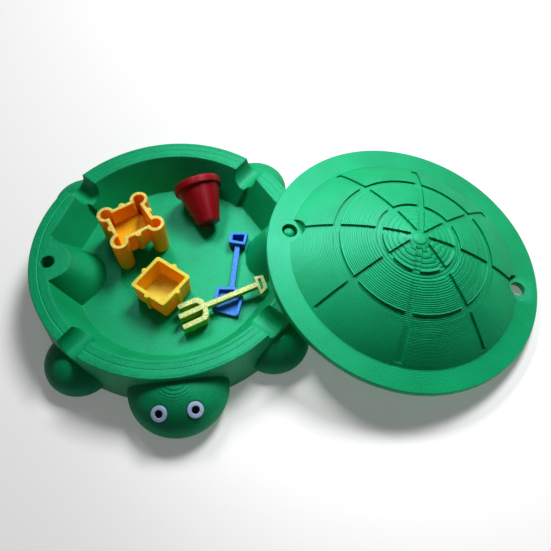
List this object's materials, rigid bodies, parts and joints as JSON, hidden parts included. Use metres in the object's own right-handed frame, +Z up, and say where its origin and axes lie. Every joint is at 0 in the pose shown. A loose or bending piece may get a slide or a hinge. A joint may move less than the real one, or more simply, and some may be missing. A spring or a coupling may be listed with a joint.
{
  "type": "sandbox with cover",
  "caption": "Printed miniature turtle-shaped sandbox: a round basin with head and feet, a domed cover that swings open on a loose pin, and loose sand toys.",
  "frame": {"origin": "centre of the round basin's underside, on the ground", "axes": "+Z up, -Y toward the head, +X toward the pinned side and the open cover"},
  "size_m": [0.1484, 0.0935, 0.0232],
  "materials": {
    "green_base": "silky printed filament",
    "green_cover": "silky printed filament",
    "green_pin": "silky printed filament",
    "eye_white": "satin",
    "eye_black": "satin",
    "yellow_castle": "silky printed filament",
    "yellow_square": "silky printed filament",
    "red_bucket": "smooth printed filament",
    "blue_shovel": "printed filament",
    "lime_fork": "printed filament"
  },
  "bodies": {
    "basin": {"sandbox_base": "green_base", "eye_white_left": "eye_white", "eye_white_right": "eye_white", "pupil_left": "eye_black", "pupil_right": "eye_black"},
    "leaning_pin": {"pivot_pin": "green_pin"},
    "cover": {"cover": "green_cover"},
    "castle_mould": {"castle_mould": "yellow_castle"},
    "square_mould": {"square_mould": "yellow_square"},
    "bucket": {"bucket": "red_bucket"},
    "shovel": {"shovel": "blue_shovel"},
    "fork": {"fork": "lime_fork"}
  },
  "joints": [
    {"name": "cover_tip", "type": "hinge", "parent": "basin", "child": "leaning_pin", "pos_m": [0.03959, -0.00571, 0.014], "axis": [0.1426, 0.9898, 0], "range_deg": [-11.67, 0]},
    {"name": "cover_swivel", "type": "hinge", "parent": "leaning_pin", "child": "cover", "pos_m": [0.03472, -0.00002, 0.01516], "axis": [0.2002, -0.0288, 0.9793], "range_deg": [-163.46, 16.54]},
    {"name": "castle_lift", "type": "slide", "parent": "basin", "child": "castle_mould", "axis": [0, 0, 1], "range_m": [0, 0.02]},
    {"name": "square_lift", "type": "slide", "parent": "basin", "child": "square_mould", "axis": [0, 0, 1], "range_m": [0, 0.02]},
    {"name": "bucket_lift", "type": "slide", "parent": "basin", "child": "bucket", "axis": [0, 0, 1], "range_m": [0, 0.02]},
    {"name": "shovel_lift", "type": "slide", "parent": "basin", "child": "shovel", "axis": [-0.2, 0, 0.9798], "range_m": [0, 0.02]},
    {"name": "fork_lift", "type": "slide", "parent": "shovel", "child": "fork", "axis": [-0.2, 0, 0.9798], "range_m": [0, 0.015]}
  ]
}
